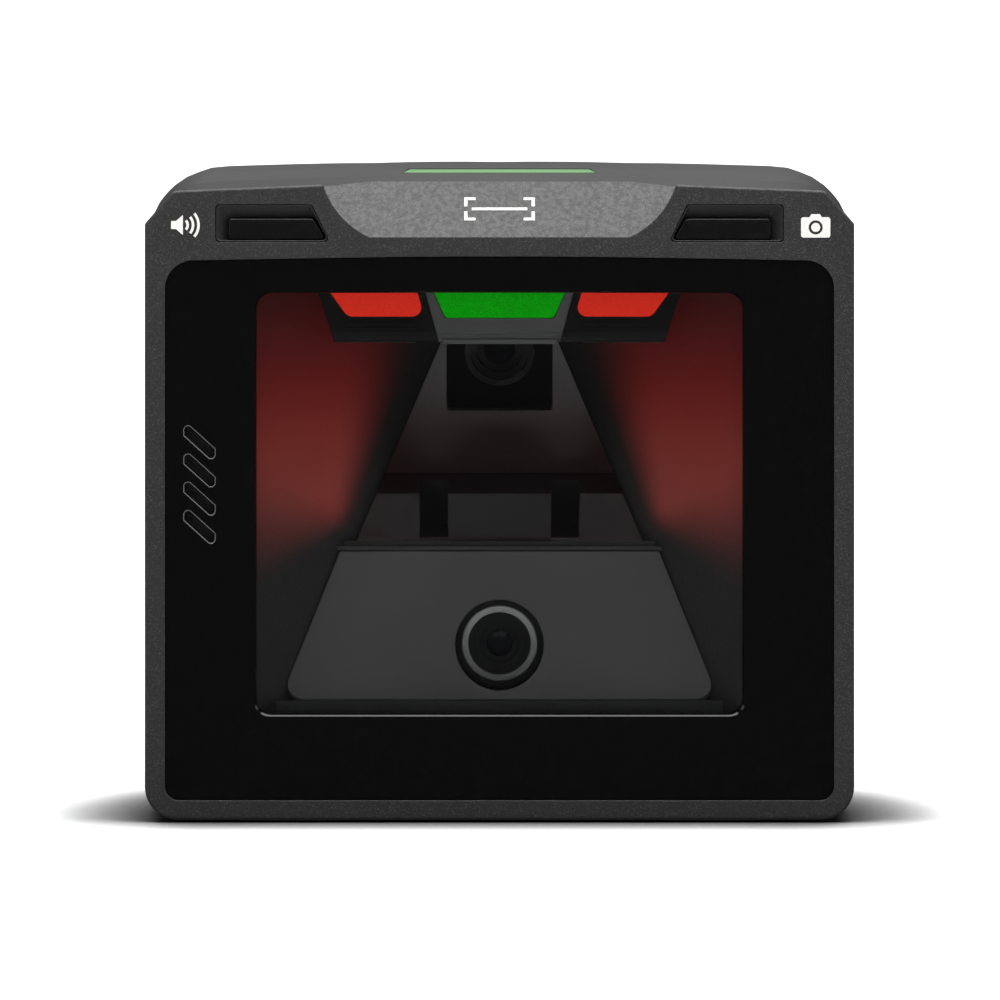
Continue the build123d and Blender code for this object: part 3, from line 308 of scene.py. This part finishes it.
def chamber_plastic(name):
    """Matte black chamber wall whose own red emission stands in for the light of the red lamps.

    The glow fades out towards the mirror, is strongest just above the mirror's foot and ends below it.
    """
    net = Net(name)
    x, y, z = net.axes()
    foot_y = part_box("mirror_ledge")[0][1]
    foot_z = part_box("mirror_ledge")[1][2]
    grain = net.noise(1500.0, 3.0, 0.6)
    cloud = net.noise(45.0, 2.0, 0.5)
    rise = net.math("SUBTRACT", z, foot_z)
    climb = net.math("MAXIMUM", rise, 0.0)
    ahead = net.math("SUBTRACT", foot_y, y)
    reach = net.math("MAXIMUM", ahead, 0.0)
    rear_lean, rear_spread, rear_width = 0.36, 0.25, 0.003
    low_lift, low_spread, low_width = 0.0045, 0.45, 0.0035
    rear_line = net.math("ADD", ahead, net.math("MULTIPLY", climb, rear_lean))
    rear_soft = net.math("ADD", net.math("MULTIPLY", climb, rear_spread), rear_width)
    low_line = net.math("SUBTRACT", rise, low_lift)
    low_soft = net.math("ADD", net.math("MULTIPLY", reach, low_spread), low_width)
    rear_mask = net.ramp(net.math("DIVIDE", rear_line, rear_soft), -1.0, 1.0, 0.0, 1.0)
    low_mask = net.ramp(net.math("DIVIDE", low_line, low_soft), -1.0, 1.0, 0.0, 1.0)
    high_fade = net.ramp(z, foot_z + 0.020, foot_z + 0.060, 1.0, 0.15)
    front_fade = net.ramp(y, FRONT_Y + 0.004, FRONT_Y + 0.013, 0.85, 1.0)
    fade = net.math("MULTIPLY", high_fade, front_fade)
    level = net.math("MULTIPLY", net.math("MULTIPLY", rear_mask, low_mask), fade)
    level = net.math("MULTIPLY", level, net.ramp(cloud, 0.2, 0.8, 0.95, 1.05))
    pale = net.ramp(z, foot_z + 0.008, foot_z + 0.042, 1.0, 0.0)
    hue = net.blend(pale, (0.112, 0.0045, 0.0035), (0.140, 0.0190, 0.0140))
    glow = net.blend(1.0, hue, level_color(net, level), "MULTIPLY")
    # Painted shade: the wall's base colour darkens upwards from just below the mirror's foot, where less
    # light reaches the upper chamber.
    tone = net.ramp(z, foot_z - 0.010, foot_z + 0.030, 1.0, 0.3)
    base = net.blend(net.ramp(grain, 0.35, 0.7, 0.0, 1.0), grey(0.046), grey(0.058))
    base = net.blend(1.0, base, level_color(net, tone), "MULTIPLY")
    normal = net.bump(grain, 0.00003, 0.5)
    net.surface(Base_Color=base, Roughness=0.62, Normal=normal, Emission_Color=glow, Emission_Strength=1.0)
    return net.mat


def thin_glass(name, tint, gloss, rough=0.01):
    """Coated glass plate: what is behind shows through, with a Fresnel reflection."""
    net = Net(name)
    smear = net.noise(60.0, 3.0, 0.6)
    clear = net.node("ShaderNodeBsdfTransparent")
    clear.inputs["Color"].default_value = rgba(tint)
    shiny = net.node("ShaderNodeBsdfGlossy")
    net.join(net.ramp(smear, 0.4, 0.8, rough, rough + 0.03), shiny.inputs["Roughness"])
    fresnel = net.node("ShaderNodeFresnel")
    fresnel.inputs["IOR"].default_value = gloss
    mix = net.node("ShaderNodeMixShader")
    net.join(fresnel.outputs[0], mix.inputs[0])
    net.join(clear.outputs[0], mix.inputs[1])
    net.join(shiny.outputs[0], mix.inputs[2])
    net.join(mix.outputs[0], net.out.inputs["Surface"])
    return net.mat


def lens_coating(name, violet, green):
    """Dark coated lens: a deep body whose coating drifts from violet to green."""
    net = Net(name)
    drift = net.noise(140.0, 1.0, 0.4)
    tint = net.blend(net.ramp(drift, 0.35, 0.65, 0.0, 1.0), violet, green)
    smear = net.noise(300.0, 2.0, 0.5)
    net.surface(Base_Color=tint, Roughness=net.ramp(smear, 0.4, 0.8, 0.02, 0.06), IOR=1.3)
    return net.mat


def mirror_glass(name):
    """First-surface mirror with a trace of dust."""
    net = Net(name)
    dust = net.noise(700.0, 4.0, 0.7)
    base = net.blend(net.ramp(dust, 0.55, 0.8, 0.0, 1.0), grey(0.80), grey(0.66))
    net.surface(Base_Color=base, Metallic=1.0, Roughness=net.ramp(dust, 0.5, 0.85, 0.015, 0.09))
    return net.mat


def printed_ink(name, color):
    """Pad-printed ink or label film with faint mottling."""
    net = Net(name)
    mottle = net.noise(1900.0, 3.0, 0.6)
    net.surface(Base_Color=net.blend(net.ramp(mottle, 0.5, 0.75, 0.0, 0.8), color, shade(color, 0.82)),
                Roughness=net.ramp(mottle, 0.3, 0.7, 0.45, 0.6), Normal=net.bump(mottle, 0.00003, 0.6))
    return net.mat


def mesh_cloth(name):
    """Woven acoustic mesh."""
    net = Net(name)
    wave = net.node("ShaderNodeTexWave", bands_direction="DIAGONAL")
    net.join(net.place, wave.inputs["Vector"])
    wave.inputs["Scale"].default_value = 900.0
    net.surface(Base_Color=net.blend(wave.outputs["Fac"], grey(0.006), grey(0.03)), Roughness=0.6,
                Normal=net.bump(wave.outputs["Fac"], 0.0001, 0.8))
    return net.mat


def amber_film(name):
    """Polyimide ribbon with printed conductors."""
    net = Net(name)
    wave = net.node("ShaderNodeTexWave", bands_direction="X")
    net.join(net.place, wave.inputs["Vector"])
    wave.inputs["Scale"].default_value = 320.0
    film = net.blend(wave.outputs["Fac"], (0.38, 0.15, 0.02), (0.55, 0.27, 0.07))
    net.surface(Base_Color=film, Roughness=0.25, Normal=net.bump(wave.outputs["Fac"], 0.00003, 0.6))
    return net.mat


def assign(material, *names):
    """Gives CAD nodes their finished material."""
    for name in names:
        for slot in NODES[name].material_slots:
            slot.material = material


def dress_case():
    case = grained_plastic("case_grain", grey(0.021, 0.01), 0.46, grain=3300.0, depth=0.00011, sparkle=0.7)
    assign(case, "front_frame")
    cover = satin_plastic("cover_satin", (0.0135, 0.0122, 0.0126), 0.58)
    assign(cover, "rear_cover", "base_plate")
    # The window bezel's sound-slot lips get a painted highlight in a paler grey.
    assign(bezel_plastic("piano_black", grey(0.0015), grey(0.12)), "window_bezel")
    surround = satin_plastic("surround_satin", grey(0.018), 0.22, 0.0002)
    assign(surround, "button_surround_left", "button_surround_right")
    assign(polished_plastic("button_gloss", grey(0.004), 0.12, 0.0004), "volume_button", "camera_button")
    assign(printed_ink("white_ink", (0.74, 0.73, 0.70)), "scan_pictogram", "speaker_icon", "camera_icon")
    assign(rubber("foot_rubber", grey(0.018)), "rubber_feet")
    assign(rubber("gasket_foam", grey(0.008)), "window_gasket")
    assign(printed_ink("label_film", grey(0.30)), "label_plate")


def dress_optics():
    assign(thin_glass("window_coating", (0.96, 0.965, 0.965), 1.3), "scan_window")
    assign(chamber_plastic("chamber_wall"), "optics_chassis")
    assign(satin_plastic("panel_satin", grey(0.14), 0.42), "lower_panel")
    assign(satin_plastic("ledge_satin", grey(0.045), 0.38), "mirror_ledge")
    assign(satin_plastic("ceiling_satin", grey(0.34), 0.45), "ceiling_plate")
    assign(mirror_glass("mirror_face"), "fold_mirror")
    assign(hood_plastic("hood_satin", grey(0.10), grey(0.010), 0.4), "light_housing")
    assign(satin_plastic("carrier_satin", grey(0.03), 0.45), "mirror_carrier")
    red = diffuser_plastic("red_frost", (0.565, 0.020, 0.009), 0.85, 0.4, 0.5, 0.05)
    assign(red, "red_diffuser_left", "red_diffuser_right")
    assign(diffuser_plastic("green_frost", (0.0, 0.262, 0.0), 0.85, 0.4, 0.8, 0.3), "green_diffuser")
    black = satin_plastic("optic_black", grey(0.006), 0.36, 0.00015)
    assign(black, "imager_shroud", "camera_holder", "camera_barrel")
    assign(satin_plastic("barrel_satin", grey(0.10), 0.25, 0.00015), "imager_barrel")
    assign(lens_coating("imager_coating", (0.012, 0.009, 0.018), (0.006, 0.014, 0.010)), "imager_lens")
    assign(lens_coating("camera_coating", (0.006, 0.005, 0.009), (0.003, 0.007, 0.005)), "camera_lens")
    assign(satin_plastic("ring_satin", grey(0.36), 0.35, 0.0002), "camera_ring")
    assign(light_pipe_plastic("status_green"), "status_light_pipe")


def dress_inside():
    assign(circuit_board("solder_mask", (0.012, 0.075, 0.035)), "led_board", "imager_board", "camera_board",
           "button_board", "status_light_board", "main_board")
    chip = grained_plastic("chip_mould", grey(0.018), 0.55, grain=1400.0, depth=0.00003, sparkle=0.1)
    assign(chip, "processor", "board_parts", "host_port", "aux_tongue", "speaker_basket",
           "volume_switch_plunger", "camera_switch_plunger")
    steel = metal("plated_steel", grey(0.55), 0.3)
    assign(steel, "base_screws", "case_screws", "board_screws", "main_bracket", "switch_bodies", "aux_port")
    assign(metal("fin_aluminium", grey(0.62), 0.35, (1.0, 1.0, 12.0)), "heat_spreader")
    assign(metal("turned_brass", (0.72, 0.5, 0.2), 0.3), "threaded_inserts")
    assign(metal("contact_gold", (0.85, 0.62, 0.25), 0.2), "host_contacts")
    assign(diffuser_plastic("lamp_phosphor", (0.7, 0.6, 0.35), 0.1, 0.4, 0.5, 0.1), "red_leds", "green_leds")
    assign(mesh_cloth("acoustic_mesh"), "speaker_mesh")
    cone = grained_plastic("cone_fibre", grey(0.03), 0.7, grain=1200.0, depth=0.00008, sparkle=0.2)
    assign(cone, "speaker_cone")
    assign(amber_film("flex_film"), "imager_flex")


# ---------------------------------------------------------------- studio

def make_floor():
    """Pale sweep: a floor that curves up into the backdrop well behind the object. The paper glows by its
    own emission, and a painted contact shadow darkens it near the object.
    """
    half, front, bend, back, height, steps = 3.0, -2.6, 1.6, 2.6, 3.2, 10
    profile = [(front, 0.0), (bend, 0.0)]
    radius = back - bend
    for step in range(1, steps + 1):
        angle = math.pi / 2 * step / steps
        profile.append((bend + radius * math.sin(angle), radius * (1 - math.cos(angle))))
    profile.append((back, height))
    mesh = bpy.data.meshes.new("studio_floor")
    verts = [(x, y, z) for y, z in profile for x in (-half, half)]
    faces = [(2 * i, 2 * i + 1, 2 * i + 3, 2 * i + 2) for i in range(len(profile) - 1)]
    mesh.from_pydata(verts, [], faces)
    floor = bpy.data.objects.new("studio_floor", mesh)
    bpy.context.collection.objects.link(floor)
    for face in mesh.polygons:
        face.use_smooth = True
    net = Net("pale_paper")
    fibre = net.noise(180.0, 4.0, 0.6)
    away = net.node("ShaderNodeVectorMath", operation="LENGTH")
    net.join(net.place, away.inputs[0])
    # Painted contact shadow: ambient occlusion from the object darkens both the paper's colour and its glow.
    contact = net.node("ShaderNodeAmbientOcclusion", samples=8)
    contact.inputs["Distance"].default_value = 0.024
    closed = net.math("POWER", contact.outputs["AO"], 4.5)
    # Painted shade: the paper's own glow is weaker near the object and reaches full strength further away.
    reach = net.ramp(away.outputs["Value"], 0.12, 0.6, 0.30, 1.0)
    shine = level_color(net, net.math("MULTIPLY", reach, closed))
    paper = net.blend(1.0, net.blend(fibre, grey(0.62), grey(0.66)), level_color(net, closed), "MULTIPLY")
    net.surface(Base_Color=paper, Roughness=0.9, Emission_Color=shine, Emission_Strength=1.0)
    mesh.materials.append(net.mat)
    floor.visible_glossy = False


def area_light(name, place, target, size, power, color=(1.0, 1.0, 1.0)):
    lamp = bpy.data.lights.new(name, "AREA")
    lamp.shape = "RECTANGLE"
    lamp.size, lamp.size_y = size
    lamp.energy = power
    lamp.color = color
    holder = bpy.data.objects.new(name, lamp)
    holder.location = place
    holder.rotation_euler = (Vector(target) - Vector(place)).to_track_quat("-Z", "Y").to_euler()
    bpy.context.collection.objects.link(holder)


def make_lights():
    """One broad softbox overhead, weak fills from the front and sides, and a dim surround."""
    aim = (0.0, 0.0, 0.08)
    area_light("overhead", (0.0, -0.30, 1.15), aim, (1.3, 0.95), 25.0)
    area_light("front_fill", (0.0, -1.6, 0.9), aim, (1.6, 0.5), 1.5)
    area_light("left_fill", (-1.2, -0.7, 0.5), aim, (0.4, 0.8), 1.6)
    area_light("right_fill", (1.2, -0.7, 0.5), aim, (0.4, 0.8), 1.6)
    area_light("rear_fill", (0.0, 0.9, 1.2), aim, (1.6, 0.6), 6.0)
    world = bpy.data.worlds.new("studio")
    world.use_nodes = True
    bpy.context.scene.world = world
    world.node_tree.nodes["Background"].inputs["Color"].default_value = (0.95, 0.97, 1.0, 1.0)
    world.node_tree.nodes["Background"].inputs["Strength"].default_value = 0.10


def make_camera():
    """Long lens straight in front, a little above the middle, with the frame lowered by a small shift."""
    distance = 1.0
    view_width = 0.2113
    height = 0.0856
    centre_height = 0.0682
    data = bpy.data.cameras.new("camera")
    data.sensor_width = 36.0
    data.lens = data.sensor_width * distance / view_width
    data.shift_y = (centre_height - height) / view_width
    data.clip_start = 0.05
    camera = bpy.data.objects.new("camera", data)
    camera.location = (0.0001, FRONT_Y - distance, height)
    camera.rotation_euler = (math.pi / 2, 0.0, 0.0)
    bpy.context.collection.objects.link(camera)
    bpy.context.scene.camera = camera


dress_case()
dress_optics()
dress_inside()
make_floor()
make_lights()
make_camera()
bpy.context.scene.view_settings.view_transform = "Standard"
